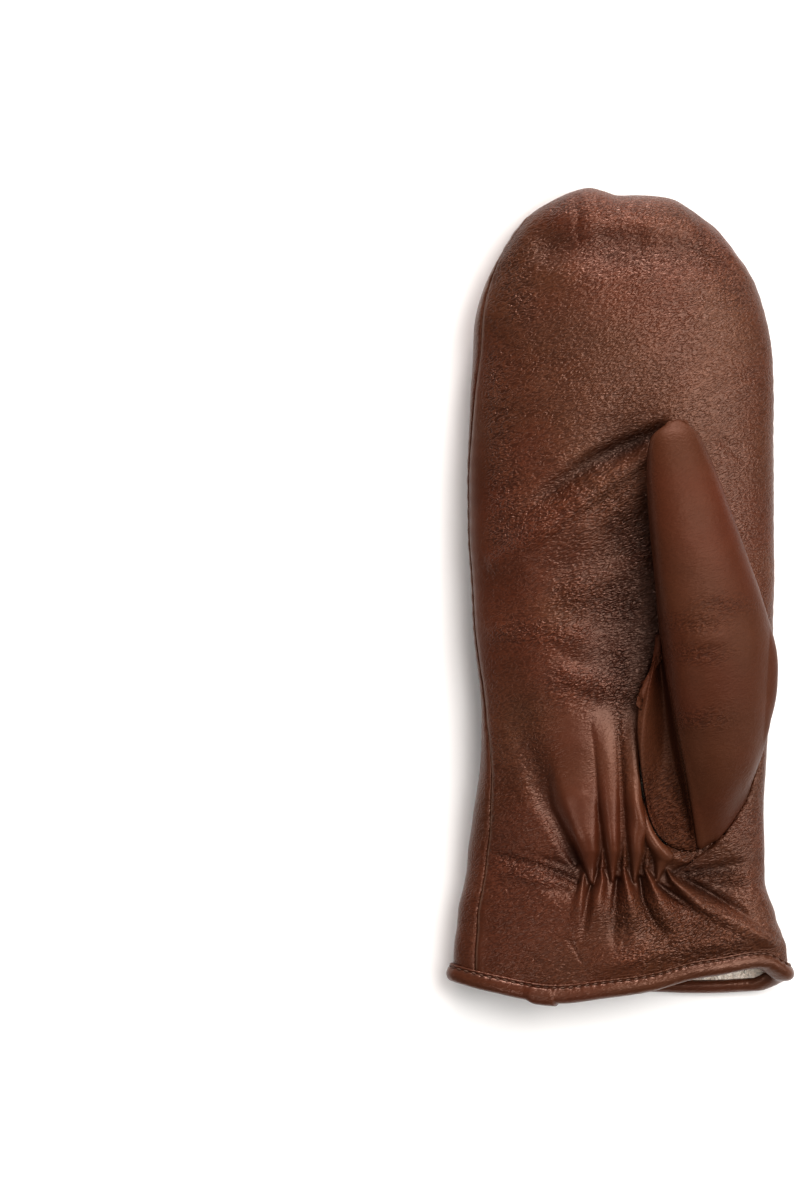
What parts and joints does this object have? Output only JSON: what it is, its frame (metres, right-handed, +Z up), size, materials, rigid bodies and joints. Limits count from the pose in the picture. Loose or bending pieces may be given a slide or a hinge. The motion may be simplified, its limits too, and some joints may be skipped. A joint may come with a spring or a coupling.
{
  "type": "leather mitten",
  "caption": "Lined leather mitten for the right hand, lying palm up with its thumb folded over the palm, gathered over the wrist and bound at the cuff",
  "frame": {"origin": "centre of the bounding box in plan, on the surface that the mitten lies on", "axes": "+Y to the fingertips, +X to the thumb side, +Z up out of the palm"},
  "size_m": [0.115, 0.27, 0.0486],
  "materials": {
    "hand_leather": "satin pebbled brown leather",
    "thumb_leather": "satin smooth brown leather",
    "binding_leather": "satin brown leather strip, folded and stitched",
    "fleece": "cream fleece pile"
  },
  "bodies": {
    "root": {"palm_panel": "hand_leather", "back_panel": "hand_leather", "thumb_outer": "thumb_leather", "thumb_inner": "thumb_leather", "cuff_binding": "binding_leather", "lining": "fleece"}
  },
  "joints": []
}
